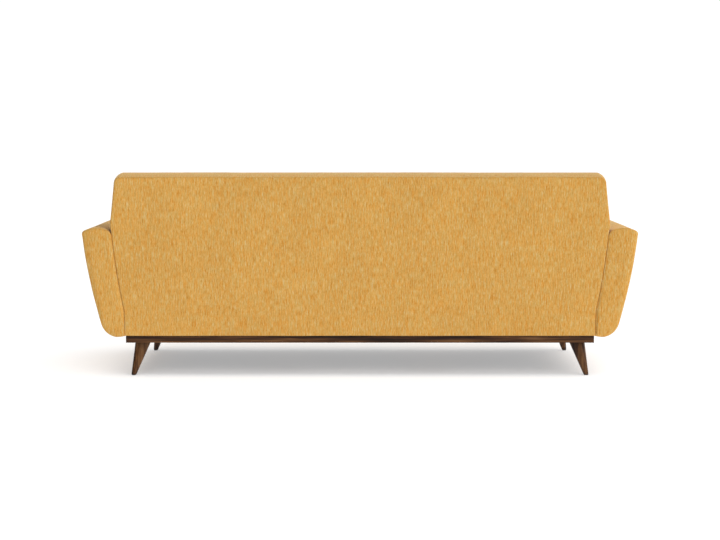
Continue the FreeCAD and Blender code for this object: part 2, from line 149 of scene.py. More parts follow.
def sum_of(tree, parts):
    """The weighted sum of grey values: parts is [(socket, weight), ...]."""
    total = None
    for socket, weight in parts:
        scaled = node(tree, "ShaderNodeMath", operation="MULTIPLY")
        tree.links.new(socket, scaled.inputs[0])
        scaled.inputs[1].default_value = weight
        if total is None:
            total = scaled.outputs[0]
            continue
        added = node(tree, "ShaderNodeMath", operation="ADD")
        tree.links.new(total, added.inputs[0])
        tree.links.new(scaled.outputs[0], added.inputs[1])
        total = added.outputs[0]
    return total


def painted_occlusion_shade(tree, distance, deep):
    """Painted shade, a colour to multiply by: white in the open, deep where another surface lies
    close.
    """
    occlusion_amount = node(tree, "ShaderNodeAmbientOcclusion", samples=4, Distance=distance)
    return ramp(tree, occlusion_amount.outputs["AO"], [(0.25, deep), (0.80, (1.0, 1.0, 1.0))])


def bump(tree, shader, height, distance, strength=1.0):
    """Relief from a grey value, in metres."""
    made = node(tree, "ShaderNodeBump", Strength=strength, Distance=distance)
    tree.links.new(height, made.inputs["Height"])
    tree.links.new(made.outputs["Normal"], shader.inputs["Normal"])


def chenille(name):
    """Gold chenille with fine streaks along the cloth's length, in cloth coordinates, and painted
    shade in its creases.
    """
    material, tree = new_material(name)

    def yarn(across, along, shift=(0, 0, 0), roughness=0.5):
        """Noise with so many cells for each metre across the cloth and along it."""
        where = coordinates(tree, "UV", (across, along, 1), shift)
        return noise(tree, where, detail=2, roughness=roughness)

    shader = principled(tree, Roughness=0.9)
    shader.inputs["Sheen Weight"].default_value = 0.36
    shader.inputs["Sheen Roughness"].default_value = 0.4
    shader.inputs["Sheen Tint"].default_value = (0.97, 0.87, 0.54, 1.0)
    shader.inputs["Specular IOR Level"].default_value = 0.1
    streaks = yarn(420, 46, roughness=0.55)
    long = yarn(360, 19, shift=(3.7, 9.1, 2.0))
    runs = yarn(300, 7, shift=(1.9, 5.3, 6.0))
    short_tints = yarn(230, 36, shift=(7.3, 2.1, 4.0))
    long_tints = yarn(190, 12, shift=(2.7, 8.3, 5.0))
    flecks = yarn(480, 120, roughness=0.55)
    fibre = yarn(1100, 420)
    drift = yarn(7, 3)
    ribs = node(tree, "ShaderNodeTexWave", Scale=1.0, Distortion=2.0, Detail=2.0)
    ribs.inputs["Detail Scale"].default_value = 1.5
    tree.links.new(coordinates(tree, "UV", (120, 14, 1)), ribs.inputs["Vector"])

    tone = sum_of(tree, [
        (streaks, 0.34), (long, 0.24), (runs, 0.12), (flecks, 0.21), (fibre, 0.09),
    ])
    colour = ramp(tree, tone, [
        (0.405, (0.470, 0.190, 0.026)),
        (0.457, (0.572, 0.281, 0.054)),
        (0.512, (0.612, 0.345, 0.088)),
        (0.567, (0.646, 0.424, 0.152)),
        (0.630, (0.700, 0.540, 0.270)),
    ])
    tints = sum_of(tree, [(short_tints, 0.55), (long_tints, 0.45)])
    tint = ramp(tree, tints, [(0.42, (1.05, 0.95, 0.79)), (0.58, (0.955, 1.045, 1.18))])
    colour = mixed(tree, colour, tint, 1.0, "MULTIPLY")
    shade = ramp(tree, drift, [(0.35, (0.975, 0.975, 0.975)), (0.65, (1.02, 1.02, 1.02))])
    colour = mixed(tree, colour, shade, 1.0, "MULTIPLY")
    # painted shade: an orange-brown darkening in creases and wherever the cloth lies close to
    # another surface
    colour = mixed(tree, colour, painted_occlusion_shade(tree, 0.016, (0.56, 0.32, 0.16)), 1.0, "MULTIPLY")
    tree.links.new(colour, shader.inputs["Base Color"])
    relief = sum_of(tree, [(ribs.outputs["Fac"], 0.25), (streaks, 0.45), (fibre, 0.3)])
    bump(tree, shader, relief, 0.0010, 0.6)
    return material


def walnut(name, along):
    """Dark satin walnut with its grain along one axis, and painted shade where another surface lies
    close.
    """
    material, tree = new_material(name)
    shader = principled(tree, Roughness=0.4)
    shader.inputs["Specular IOR Level"].default_value = 0.18
    fine = [140.0, 140.0, 140.0]
    fine[along] = 5.0
    broad = [22.0, 22.0, 22.0]
    broad[along] = 1.6
    pores = noise(tree, coordinates(tree, "Object", fine), detail=4, roughness=0.6)
    figure = noise(tree, coordinates(tree, "Object", broad), detail=4, roughness=0.55,
                   distortion=0.6)
    tone = sum_of(tree, [(figure, 0.6), (pores, 0.4)])
    colour = ramp(tree, tone, [
        (0.38, (0.007, 0.002, 0.001)),
        (0.46, (0.041, 0.015, 0.005)),
        (0.53, (0.092, 0.038, 0.012)),
        (0.61, (0.168, 0.080, 0.030)),
    ])
    # painted shade: near-black darkening wherever another surface lies close, as under the back's
    # panel
    colour = mixed(tree, colour, painted_occlusion_shade(tree, 0.020, (0.05, 0.05, 0.05)), 1.0, "MULTIPLY")
    tree.links.new(colour, shader.inputs["Base Color"])
    gloss = ramp(tree, pores, [(0.4, (0.46, 0.46, 0.46)), (0.6, (0.28, 0.28, 0.28))])
    tree.links.new(gloss, shader.inputs["Roughness"])
    bump(tree, shader, pores, 0.0003, 0.5)
    return material


def pale_timber(name, along, dark, light):
    """Plain sawn timber or plywood with its grain along one axis."""
    material, tree = new_material(name)
    shader = principled(tree, Roughness=0.7)
    fine = [110.0, 110.0, 110.0]
    fine[along] = 4.0
    grain = noise(tree, coordinates(tree, "Object", fine), detail=4, roughness=0.6, distortion=0.3)
    colour = ramp(tree, grain, [(0.35, dark), (0.65, light)])
    tree.links.new(colour, shader.inputs["Base Color"])
    bump(tree, shader, grain, 0.0005, 0.6)
    return material


def woven(name, dark, light, pitch, relief=0.0006):
    """A plain weave in the object's own coordinates."""
    material, tree = new_material(name)
    shader = principled(tree, Roughness=0.95)
    shader.inputs["Sheen Weight"].default_value = 0.15
    where = coordinates(tree, "Object", (1 / pitch, 1 / pitch, 1 / pitch))
    threads = node(tree, "ShaderNodeTexChecker", Scale=1.0)
    tree.links.new(where, threads.inputs["Vector"])
    threads.inputs["Color1"].default_value = (*dark, 1)
    threads.inputs["Color2"].default_value = (*light, 1)
    mottle = noise(tree, coordinates(tree, "Object", (60, 60, 60)), detail=4)
    shade = ramp(tree, mottle, [(0.3, (0.8, 0.8, 0.8)), (0.7, (1.1, 1.1, 1.1))])
    colour = mixed(tree, threads.outputs["Color"], shade, 1.0, "MULTIPLY")
    tree.links.new(colour, shader.inputs["Base Color"])
    bump(tree, shader, threads.outputs["Fac"], relief, 0.5)
    return material


def steel(name, base, roughness):
    """Bright or oiled steel with faint drawing marks."""
    material, tree = new_material(name)
    shader = principled(tree, Metallic=1.0, Roughness=roughness)
    marks = noise(tree, coordinates(tree, "Object", (400, 60, 400)), detail=3)
    darker = tuple(channel * 0.8 for channel in base)
    colour = ramp(tree, marks, [(0.4, darker), (0.6, base)])
    tree.links.new(colour, shader.inputs["Base Color"])
    bump(tree, shader, marks, 0.0001, 0.3)
    return material


def nylon(name):
    """Dark moulded nylon with a faint grain."""
    material, tree = new_material(name)
    shader = principled(tree, Roughness=0.5)
    grain = noise(tree, coordinates(tree, "Object", (900, 900, 900)), detail=2)
    colour = ramp(tree, grain, [(0.4, (0.035, 0.025, 0.02)), (0.6, (0.05, 0.038, 0.03))])
    tree.links.new(colour, shader.inputs["Base Color"])
    bump(tree, shader, grain, 0.0001, 0.4)
    return material


# ---------------------------------------------------------------- mesh building

def arc(start, through, end, count):
    """Points along the arc through three (x, z) points, both ends included."""
    a, b, c = (np.array(p, float) for p in (start, through, end))
    d = 2 * (a[0] * (b[1] - c[1]) + b[0] * (c[1] - a[1]) + c[0] * (a[1] - b[1]))
    centre = np.array([
        (a @ a) * (b[1] - c[1]) + (b @ b) * (c[1] - a[1]) + (c @ c) * (a[1] - b[1]),
        (a @ a) * (c[0] - b[0]) + (b @ b) * (a[0] - c[0]) + (c @ c) * (b[0] - a[0]),
    ]) / d
    angles = [math.atan2(*(p - centre)[::-1]) for p in (a, b, c)]
    first, middle, last = angles
    turn = 2 * math.pi
    if not (first < middle < last or last < middle < first):
        forward = ((middle - first) % turn) < ((last - first) % turn)
        last = first + (last - first) % turn if forward else first - (first - last) % turn
    radius = np.linalg.norm(a - centre)
    steps = np.linspace(first, last, count + 1)
    return centre + radius * np.stack([np.cos(steps), np.sin(steps)], axis=1)


def straight(start, end, count):
    """Evenly spaced points on a line, both ends included."""
    return np.linspace(np.array(start, float), np.array(end, float), count + 1)


def joined(*runs):
    """Runs of points end to end, each shared point once."""
    points = [runs[0]] + [run[1:] for run in runs[1:]]
    return np.concatenate(points)


def respaced(points, count):
    """The same line with its points evenly spaced."""
    lengths = np.concatenate([[0], np.cumsum(np.linalg.norm(np.diff(points, axis=0), axis=1))])
    wanted = np.linspace(0, lengths[-1], count + 1)
    columns = [np.interp(wanted, lengths, column) for column in points.T]
    return np.stack(columns, axis=1)


def filled(top, right, bottom, left):
    """A grid of points inside four edges; top and bottom run across, left and right run down."""
    v, u = np.meshgrid(np.linspace(0, 1, len(left)), np.linspace(0, 1, len(top)), indexing="ij")
    v, u = v[..., None], u[..., None]
    sides = (1 - v) * top[None] + v * bottom[None] + (1 - u) * left[:, None] + u * right[:, None]
    corners = ((1 - u) * (1 - v) * top[0] + u * (1 - v) * top[-1]
               + (1 - u) * v * bottom[0] + u * v * bottom[-1])
    return sides - corners


def inset_ring(ring, distance):
    """The closed ring moved inward square to itself."""
    before, after = np.roll(ring, 1, axis=0), np.roll(ring, -1, axis=0)
    normals = []
    for edge in (ring - before, after - ring):
        across = np.stack([edge[:, 1], -edge[:, 0]], axis=1)
        normals.append(across / np.linalg.norm(across, axis=1, keepdims=True))
    middle = normals[0] + normals[1]
    middle /= np.linalg.norm(middle, axis=1, keepdims=True)
    share = np.clip((middle * normals[0]).sum(axis=1, keepdims=True), 0.7, 1)
    return ring + middle * np.reshape(distance, (-1, 1)) / share


class Body:
    """A padded body: one outline swept in depth, with rounded edges and a seam round each face.

    The outline is four edges in the XZ plane, as seen with +X to the right. place(x, z, depth, end)
    gives the point in the sofa, with its depth measured in from the rear or front end. radius(x, z)
    is how round the edge is at a point of the outline, and seam(x, z) how deep the seam lies there.
    """

    TURNS = (0, 12, 24, 33, 41, 45, 49, 57, 66, 78, 90)     # degrees round the edge
    SEAM_RING = TURNS.index(45)

    def __init__(self, edges, place, radius, seam):
        self.edges = edges
        self.place = place
        self.radius = np.array([radius(x, z) for x, z in self.outline()])
        self.vertices = []
        self.faces = []
        self.parts = []
        groove = np.array([seam(x, z) for x, z in self.outline()])
        self.profile = []
        for number, turn in enumerate(self.TURNS):
            angle = math.radians(turn)
            push = groove * (number == self.SEAM_RING)
            inset = self.radius * (1 - math.sin(angle)) + push * math.sin(angle)
            depth = self.radius * (1 - math.cos(angle)) + push * math.cos(angle)
            self.profile.append((inset, depth))

    def outline(self):
        """The edges as one closed ring."""
        top, right, bottom, left = self.edges
        return np.concatenate([top[:-1], right[:-1], bottom[::-1][:-1], left[::-1][:-1]])

    def cap_edges(self, ring):
        """The ring cut back into its four edges."""
        across, down = len(self.edges[0]) - 1, len(self.edges[1]) - 1
        closed = np.concatenate([ring, ring[:1]])
        corners = [0, across, across + down, 2 * across + down, 2 * (across + down)]
        top, right, bottom, left = (closed[a:b + 1] for a, b in zip(corners, corners[1:]))
        return top, right, bottom[::-1], left[::-1]

    def add(self, points):
        """Add vertices and return their first number."""
        first = len(self.vertices)
        self.vertices.extend(points)
        return first

    def bridge(self, first, second, count, part, flip):
        """Quads between two rings of vertices."""
        for k in range(count):
            n = (k + 1) % count
            face = (first[k], first[n], second[n], second[k])
            self.faces.append(face[::-1] if flip else face)
            self.parts.append(part)

    def cap(self, ring_numbers, end, part, puff):
        """Fill one end inside its last ring."""
        ring = inset_ring(self.outline(), self.profile[0][0])
        grid = filled(*self.cap_edges(ring))
        rows, columns = grid.shape[:2]
        numbers = np.full((rows, columns), -1)
        across, down = columns - 1, rows - 1
        order = [(0, c) for c in range(across)] + [(r, across) for r in range(down)]
        order += [(down, c) for c in range(across, 0, -1)] + [(r, 0) for r in range(down, 0, -1)]
        for (r, c), number in zip(order, ring_numbers):
            numbers[r, c] = number
        for r in range(1, down):
            for c in range(1, across):
                u, v = 2 * c / across - 1, 2 * r / down - 1
                swell = puff * (1 - u ** 6) * (1 - v ** 6)
                x, z = grid[r, c]
                numbers[r, c] = self.add([self.place(x, z, -swell, end)])
        for r in range(down):
            for c in range(across):
                face = (numbers[r, c], numbers[r, c + 1], numbers[r + 1, c + 1], numbers[r + 1, c])
                self.faces.append(tuple(face) if end == "front" else tuple(face[::-1]))
                self.parts.append(part)

    def build(self, stations, puff, crown=0.0):
        """Vertices, faces and, for each face, the part that it belongs to."""
        outline = self.outline()
        count = len(outline)
        rings = []
        for end in ("rear", "front"):
            made = []
            for inset, depths in self.profile:
                ring = inset_ring(outline, inset)
                points = [self.place(x, z, depth, end) for (x, z), depth in zip(ring, depths)]
                first = self.add(points)
                made.append(range(first, first + count))
            rings.append(made)
        rear, front = rings
        middle = []
        for step in range(1, stations):
            share = step / stations
            points = []
            swollen = inset_ring(outline, -crown * math.sin(math.pi * share))
            for (x, z), radius in zip(swollen, self.radius):
                a = np.array(self.place(x, z, radius, "rear"))
                b = np.array(self.place(x, z, radius, "front"))
                points.append(a * (1 - share) + b * share)
            first = self.add(points)
            middle.append(range(first, first + count))
        for number in range(len(rear) - 1):
            part = "rear" if number < self.SEAM_RING else "side"
            self.bridge(rear[number], rear[number + 1], count, part, False)
            part = "front" if number < self.SEAM_RING else "side"
            self.bridge(front[number], front[number + 1], count, part, True)
        chain = [rear[-1]] + middle + [front[-1]]
        for a, b in zip(chain, chain[1:]):
            self.bridge(a, b, count, "side", False)
        self.cap(rear[0], "rear", "rear", puff)
        self.cap(front[0], "front", "front", puff)
        return self


def mesh_object(name, vertices, faces):
    """A smooth-shaded mesh object."""
    mesh = bpy.data.meshes.new(name)
    mesh.from_pydata([tuple(v) for v in vertices], [], faces)
    mesh.validate()
    mesh.update()
    mesh.shade_smooth()
    made = bpy.data.objects.new(name, mesh)
    bpy.context.scene.collection.objects.link(made)
    return made


def subset(name, body, parts):
    """An object of the faces that belong to some parts."""
    faces = [face for face, part in zip(body.faces, body.parts) if part in parts]
    used = sorted({number for face in faces for number in face})
    new = {number: k for k, number in enumerate(used)}
    vertices = [body.vertices[number] for number in used]
    return mesh_object(name, vertices, [tuple(new[number] for number in face) for face in faces])


def outward(piece):
    """Make the faces of a closed piece look outward."""
    work = bmesh.new()
    work.from_mesh(piece.data)
    bmesh.ops.recalc_face_normals(work, faces=work.faces)
    work.to_mesh(piece.data)
    work.free()


def cloth_coordinates(piece, over="y", shift=0.0):
    """Cloth coordinates in metres: across the cloth, and along it up the upright faces."""
    mesh = piece.data
    layer = mesh.uv_layers.new(name="cloth")
    for polygon in mesh.polygons:
        size = [abs(c) for c in polygon.normal]
        main = size.index(max(size))
        for loop in polygon.loop_indices:
            x, y, z = mesh.vertices[mesh.loops[loop].vertex_index].co
            if main == 1:
                across, along = x, z
            elif main == 0:
                across, along = y, z
            else:
                across, along = (x, y) if over == "y" else (y, x)
            layer.data[loop].uv = (across + shift, along + shift * 0.7)


def ripple(piece, size, seed):
    """Slight unevenness of padding under a cover, square to the surface."""
    mesh = piece.data
    offset = Vector((seed * 3.1, seed * 1.7, seed * 2.3))
    normals = [v.normal.copy() for v in mesh.vertices]
    for vertex, normal in zip(mesh.vertices, normals):
        broad = field.noise(vertex.co * 4.0 + offset)
        close = field.noise(vertex.co * 14.0 + offset)
        vertex.co += normal * size * (0.7 * broad + 0.3 * close)


def finished(piece, body, material, slot, *nodes):
    """Give a piece its material, its body and the CAD nodes that it stands for."""
    piece.data.materials.clear()
    piece.data.materials.append(material)
    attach(piece, body)
    if nodes:
        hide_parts(*nodes)
    return piece


# ---------------------------------------------------------------- arms

def arm_edges(low, high):
    """The left arm's section as four edges, from its CAD box."""
    inner_foot = (low.x, low.z + 0.0045)
    foot = (low.x + 0.038, low.z)
    outer_low = (low.x + 0.0955, low.z + 0.0535)
    outer_high = (high.x - 0.0015, high.z - 0.033)
    top_outer = (high.x - 0.0095, high.z - 0.0115)
    top_inner = (low.x + 0.065, high.z - 0.0065)
    inner_high = (low.x + 0.0395, high.z - 0.047)
    inner_low = (low.x, low.z + 0.1045)
    crest = (low.x + 0.106, high.z)
    outer = joined(
        arc(top_outer, (high.x - 0.0012, high.z - 0.020), outer_high, 4),
        arc(outer_high, (low.x + 0.135, low.z + 0.2305), outer_low, 30),
    )
    bottom = joined(
        arc(inner_foot, (low.x + 0.018, low.z + 0.0011), foot, 6),
        arc(foot, (low.x + 0.074, low.z + 0.018), outer_low, 14),
    )
    inner = joined(
        arc(top_inner, (low.x + 0.046, high.z - 0.020), inner_high, 8),
        arc(inner_high, (low.x + 0.023, low.z + 0.2425), inner_low, 24),
        straight(inner_low, inner_foot, 8),
    )
    top = arc(top_inner, crest, top_outer, 16)
    across, down = 24, 64
    return (respaced(top, across), respaced(outer, down),
            respaced(bottom, across), respaced(inner, down))


def ramped(value, start, length):
    """0 before the start, 1 past the length, and even between."""
    return min(1.0, max(0.0, (value - start) / length))


def build_arms(cloth):
    """Both arms, closed padded bodies that stand for their covers and foam."""
    low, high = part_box("arm_cover_left")
    rear_top = high.y
    for side in SIDES:
        sign = 1 if side == "left" else -1

        def place(x, z, depth, end):
            rear = rear_top - (high.z - z) * math.tan(RAKE)
            front = low.y + (high.z - z) * ARM_FRONT_LEAN
            y = rear - depth if end == "rear" else front + depth
            return (x * sign, y, z)

        def seam(x, z):
            return ARM_SEAM if z > high.z - 0.012 else 0.0

        def radius(x, z):
            share = ramped(x, low.x + 0.045, 0.040) * ramped(z, low.z + 0.060, 0.060)
            return EDGE_TIGHT + (EDGE_ROUND - EDGE_TIGHT) * share

        body = Body(arm_edges(low, high), place, radius, seam).build(stations=46, puff=0.003)
        arm = mesh_object("arm_" + side, body.vertices, body.faces)
        outward(arm)
        ripple(arm, size=0.0012, seed=1 + sign)
        cloth_coordinates(arm, over="x", shift=0.37 * sign)
        finished(arm, "root", cloth, "gold_chenille", "arm_cover_" + side, "arm_foam_" + side)


# ---------------------------------------------------------------- back

def back_edges(length):
    """The back seen square to its face: four edges, with the bottom at zero."""
    arm_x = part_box("arm_cover_left")[0].x + PRESSED_IN
    bend = BACK_CORNER * (1 - math.sqrt(0.5))
    arm_straight_top = (arm_x, 0.100)
    arm_top = (arm_x + 0.040, 0.406)
    widest = (BACK_HALF_WIDTH, BACK_SIDE_TURN)
    corner_start = (BACK_TOP_HALF_WIDTH, length - BACK_CORNER)
    side = joined(
        straight((arm_x, 0.0), arm_straight_top, 10),
        arc(arm_straight_top, (arm_x + 0.022, 0.239), arm_top, 24),
        straight(arm_top, widest, 4),
        straight(widest, corner_start, 12),
    )
    rounding = arc(corner_start, (BACK_TOP_HALF_WIDTH - bend, length - bend),
                   (BACK_TOP_HALF_WIDTH - BACK_CORNER, length), 10)
    right = joined(respaced(side, 62), rounding)[::-1]
    left = right * np.array([-1, 1])
    across = 180
    return straight(left[0], right[0], across), right, straight(left[-1], right[-1], across), left


def build_back(cloth):
    """The rear panel and the rest of the back, which meet in a seam round the rear edge."""
    low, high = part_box("back_cover")
    bottom = low.z
    length = (high.z - BACK_THICKNESS * math.sin(RAKE) - bottom) / math.cos(RAKE)
    foot_y = high.y - length * math.sin(RAKE)

    def place(x, z, depth, end):
        d = depth if end == "rear" else BACK_THICKNESS - depth
        y = foot_y + z * math.sin(RAKE) - d * math.cos(RAKE)
        height = bottom + z * math.cos(RAKE) + d * math.sin(RAKE) * min(1.0, z / 0.05)
        return (x, y, height)

    def above_arm(z):
        return ramped(z, 0.40, 0.15)

    def radius(x, z):
        return BACK_EDGE_TIGHT + (BACK_EDGE_ROUND - BACK_EDGE_TIGHT) * above_arm(z)

    def seam(x, z):
        return BACK_SEAM * above_arm(z)

    body = Body(back_edges(length), place, radius, seam)
    body.build(stations=9, puff=0.002, crown=0.003)
    panel = subset("back_rear_panel", body, ("rear",))
    rest = subset("back_upholstery", body, ("side", "front"))
    for piece in (panel, rest):
        ripple(piece, size=0.0010, seed=5)
        cloth_coordinates(piece, shift=0.55)
    finished(panel, "root", cloth, "gold_chenille", "outside_back_cover", "outside_back_board")
    finished(rest, "root", cloth, "gold_chenille", "back_cover", "back_foam")


# ---------------------------------------------------------------- cushions

def lines(length, radius, step):
    """Grid positions along a side: close together where the edge is rounded."""
    start = [radius * (1 - math.tan(math.radians(turn))) for turn in (45, 30, 15, 0)]
    inner = max(1, round((length - 2 * radius) / step))
    middle = list(np.linspace(radius, length - radius, inner + 1))[1:-1]
    return np.array(start + middle + [length - s for s in reversed(start)])


def rounded_box(name, low, high, radius, step, boxing=None):
    """A closed grid of quads over a box with rounded edges.

    With boxing, an axis, it also returns the points of the seams round the two faces square to it.
    """
    size = np.array(high) - np.array(low)
    axes = [lines(size[k], radius, step) for k in range(3)]
    counts = [len(axis) for axis in axes]
    numbers, points = {}, []

    def vertex(index):
        if index not in numbers:
            p = np.array([axes[k][index[k]] for k in range(3)])
            core = np.clip(p, radius, size - radius)
            away = p - core
            reach = np.linalg.norm(away)
            numbers[index] = len(points)
            points.append(np.array(low) + core + away * (radius / reach if reach else 0))
        return numbers[index]

    faces = []
    for k in range(3):
        a, b = [m for m in range(3) if m != k]
        for end in (0, counts[k] - 1):
            for i in range(counts[a] - 1):
                for j in range(counts[b] - 1):
                    quad = []
                    for di, dj in ((0, 0), (1, 0), (1, 1), (0, 1)):
                        index = [0, 0, 0]
                        index[k], index[a], index[b] = end, i + di, j + dj
                        quad.append(vertex(tuple(index)))
                    faces.append(tuple(quad))
    made = mesh_object(name, points, faces)
    outward(made)
    if boxing is None:
        return made
    seams = set()
    for index, number in numbers.items():
        ends = [index[k] in (0, counts[k] - 1) for k in range(3)]
        if ends[boxing] and sum(ends) > 1:
            seams.add(number)
    return made, seams


def inflate(piece, reach, low, high):
    """Blow the cover up as cloth; reach caps how far a point moves along each axis."""
    scene = bpy.context.scene
    start = np.array([v.co for v in piece.data.vertices])
    cloth = piece.modifiers.new("cloth", "CLOTH")
    settings = cloth.settings
    settings.quality = 5
    settings.use_pressure = True
    settings.uniform_pressure_force = PRESSURE
    settings.effector_weights.gravity = 0
    settings.tension_stiffness = 18
    settings.compression_stiffness = 18
    settings.bending_stiffness = 0.6
    cloth.point_cache.frame_start = 1
    cloth.point_cache.frame_end = CLOTH_FRAMES
    for number in range(1, CLOTH_FRAMES + 1):
        scene.frame_set(number)
    graph = bpy.context.evaluated_depsgraph_get()
    result = piece.evaluated_get(graph).data
    end = np.array([v.co for v in result.vertices])
    piece.modifiers.remove(cloth)
    scene.frame_set(1)
    reach = np.array(reach)
    settle(piece, start + np.tanh((end - start) / reach) * reach, low, high)


def crown(piece, height, low, high):
    """A plain crowned shape, for when the cloth isn't simulated."""
    start = np.array([v.co for v in piece.data.vertices])
    middle, half = (start.min(0) + start.max(0)) / 2, (start.max(0) - start.min(0)) / 2
    share = (start - middle) / half
    x, y, z = (1 - np.abs(share) ** 4).T
    others = np.stack([y * z, x * z, x * y], axis=1)
    settle(piece, start + np.array(height) * share * others, low, high)


def settle(piece, points, low, high):
    """Put the points in place, kept inside the room that the cushion has."""
    points = np.clip(points, np.array(low), np.array(high))
    for vertex, point in zip(piece.data.vertices, points):
        vertex.co = point
    piece.data.update()


def seam_lines(piece, edge_points, depth):
    """Pull the cover in along its boxing seams and keep them sharp."""
    mesh = piece.data
    normals = [v.normal.copy() for v in mesh.vertices]
    for number in edge_points:
        mesh.vertices[number].co -= normals[number] * depth
    crease = mesh.attributes.new("crease_edge", "FLOAT", "EDGE")
    for edge in mesh.edges:
        if edge.vertices[0] in edge_points and edge.vertices[1] in edge_points:
            crease.data[edge.index].value = SEAM_CREASE
    mesh.update()


def subdivided(piece):
    """One level of subdivision, applied."""
    modifier = piece.modifiers.new("subdivision", "SUBSURF")
    modifier.levels = 1
    modifier.render_levels = 1
    graph = bpy.context.evaluated_depsgraph_get()
    mesh = bpy.data.meshes.new_from_object(piece.evaluated_get(graph))
    piece.modifiers.remove(modifier)
    piece.data = mesh
    piece.data.shade_smooth()


def build_cushion(name, low, high, boxing, slack, reach):
    """One loose cushion: a boxed cover blown up as cloth inside its room, then seamed.

    The room is from low to high. slack is how much smaller the cover starts at each of those two
    corners, and reach how far it may swell.
    """
    slack_low, slack_high = (Vector(part) for part in slack)
    cushion, seams = rounded_box(name, low + slack_low, high - slack_high,
                                 CUSHION_EDGE, CUSHION_MESH, boxing)
    inflate(cushion, reach, low, high)
    seam_lines(cushion, seams, CUSHION_SEAM)
    subdivided(cushion)
    return cushion


def build_cushions(cloth):
    """The loose seat cushions."""
    for number, where in enumerate(PLACES):
        name = "seat_cushion_" + where
        cover = "seat_cushion_cover_" + where
        low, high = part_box(cover)
        room_high = high + Vector((0, 0, 0.005))
        cushion = build_cushion(name, low, room_high, boxing=2,
                                slack=((0.001, 0.004, 0.001), (0.001, 0.003, 0.022)),
                                reach=(0.005, 0.006, 0.020))
        ripple(cushion, size=0.0008, seed=11 + number)
        cloth_coordinates(cushion, shift=0.29 * (number + 1))
        finished(cushion, name, cloth, "gold_chenille", cover, "seat_cushion_core_" + where)


def build_back_cushions(cloth):
    """The loose back cushions, made upright and leaned back."""
    swell = 0.004       # how far they may stand proud of the CAD cushion
    for number, where in enumerate(PLACES):
        name = "back_cushion_" + where
        cover = "back_cushion_cover_" + where
        low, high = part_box(cover)
        length = (high.z - low.z) / math.cos(RAKE) - BACK_CUSHION_THICKNESS * math.sin(RAKE)
        rear_bottom = Vector((0, high.y - length * math.sin(RAKE), low.z))
        upright_low = Vector((low.x, -BACK_CUSHION_THICKNESS - swell, 0.0))
        upright_high = Vector((high.x, 0.0, length + swell))
        cushion = build_cushion(name, upright_low, upright_high, boxing=1,
                                slack=((0.001, 0.024, 0.003), (0.001, 0.008, 0.008)),
                                reach=(0.005, 0.022, 0.007))
        ripple(cushion, size=0.0008, seed=21 + number)
        cushion.data.transform(Matrix.Translation(rear_bottom) @ Matrix.Rotation(-RAKE, 4, "X"))
        cloth_coordinates(cushion, shift=0.41 * (number + 2))
        finished(cushion, name, cloth, "gold_chenille", cover, "back_cushion_core_" + where)


# ---------------------------------------------------------------- seat platform and underside

def build_front_border(cloth):
    """The padded front of the seat platform, under the cushions."""
    low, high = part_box("front_border_cover")
    pad_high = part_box("front_border_pad")[1]
    border = rounded_box("front_border", low, Vector((high.x, pad_high.y, high.z)),
                         radius=0.006, step=0.02)
    ripple(border, size=0.0010, seed=9)
    cloth_coordinates(border, shift=1.3)
    finished(border, "root", cloth, "gold_chenille", "front_border_cover", "front_border_pad")


def build_deck(cloth):
    """The platform that the cushions lie on."""
    low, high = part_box("seat_deck_pad")
    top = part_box("seat_deck_cloth")[1]
    behind_border = 0.012
    deck = rounded_box("seat_deck", Vector((low.x, low.y + behind_border, low.z)),
                       Vector((high.x, high.y, top.z)), radius=0.005, step=0.03)
    ripple(deck, size=0.0006, seed=4)
    cloth_coordinates(deck)
    finished(deck, "root", cloth, "deck_cloth", "seat_deck_pad", "seat_deck_cloth")


def build_dust_cover(cloth):
    """The black cloth stapled under the seat frame."""
    low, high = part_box("dust_cover")
    columns, rows = 60, 24
    thickness = (high.z - low.z) * 0.6
    vertices, faces = [], []
    for r in range(rows + 1):
        for c in range(columns + 1):
            u, v = c / columns, r / rows
            x = low.x + (high.x - low.x) * u
            y = low.y + (high.y - low.y) * v
            vertices.append((x, y, high.z - thickness))
    for r in range(rows):
        for c in range(columns):
            first = r * (columns + 1) + c
            faces.append((first, first + 1, first + columns + 2, first + columns + 1))
    cover = mesh_object("underside_cloth", vertices, faces)
    solid = cover.modifiers.new("thickness", "SOLIDIFY")
    solid.thickness = thickness
    solid.offset = 1
    finished(cover, "root", cloth, "dust_cloth", "dust_cover")


# ---------------------------------------------------------------- carried-over nodes

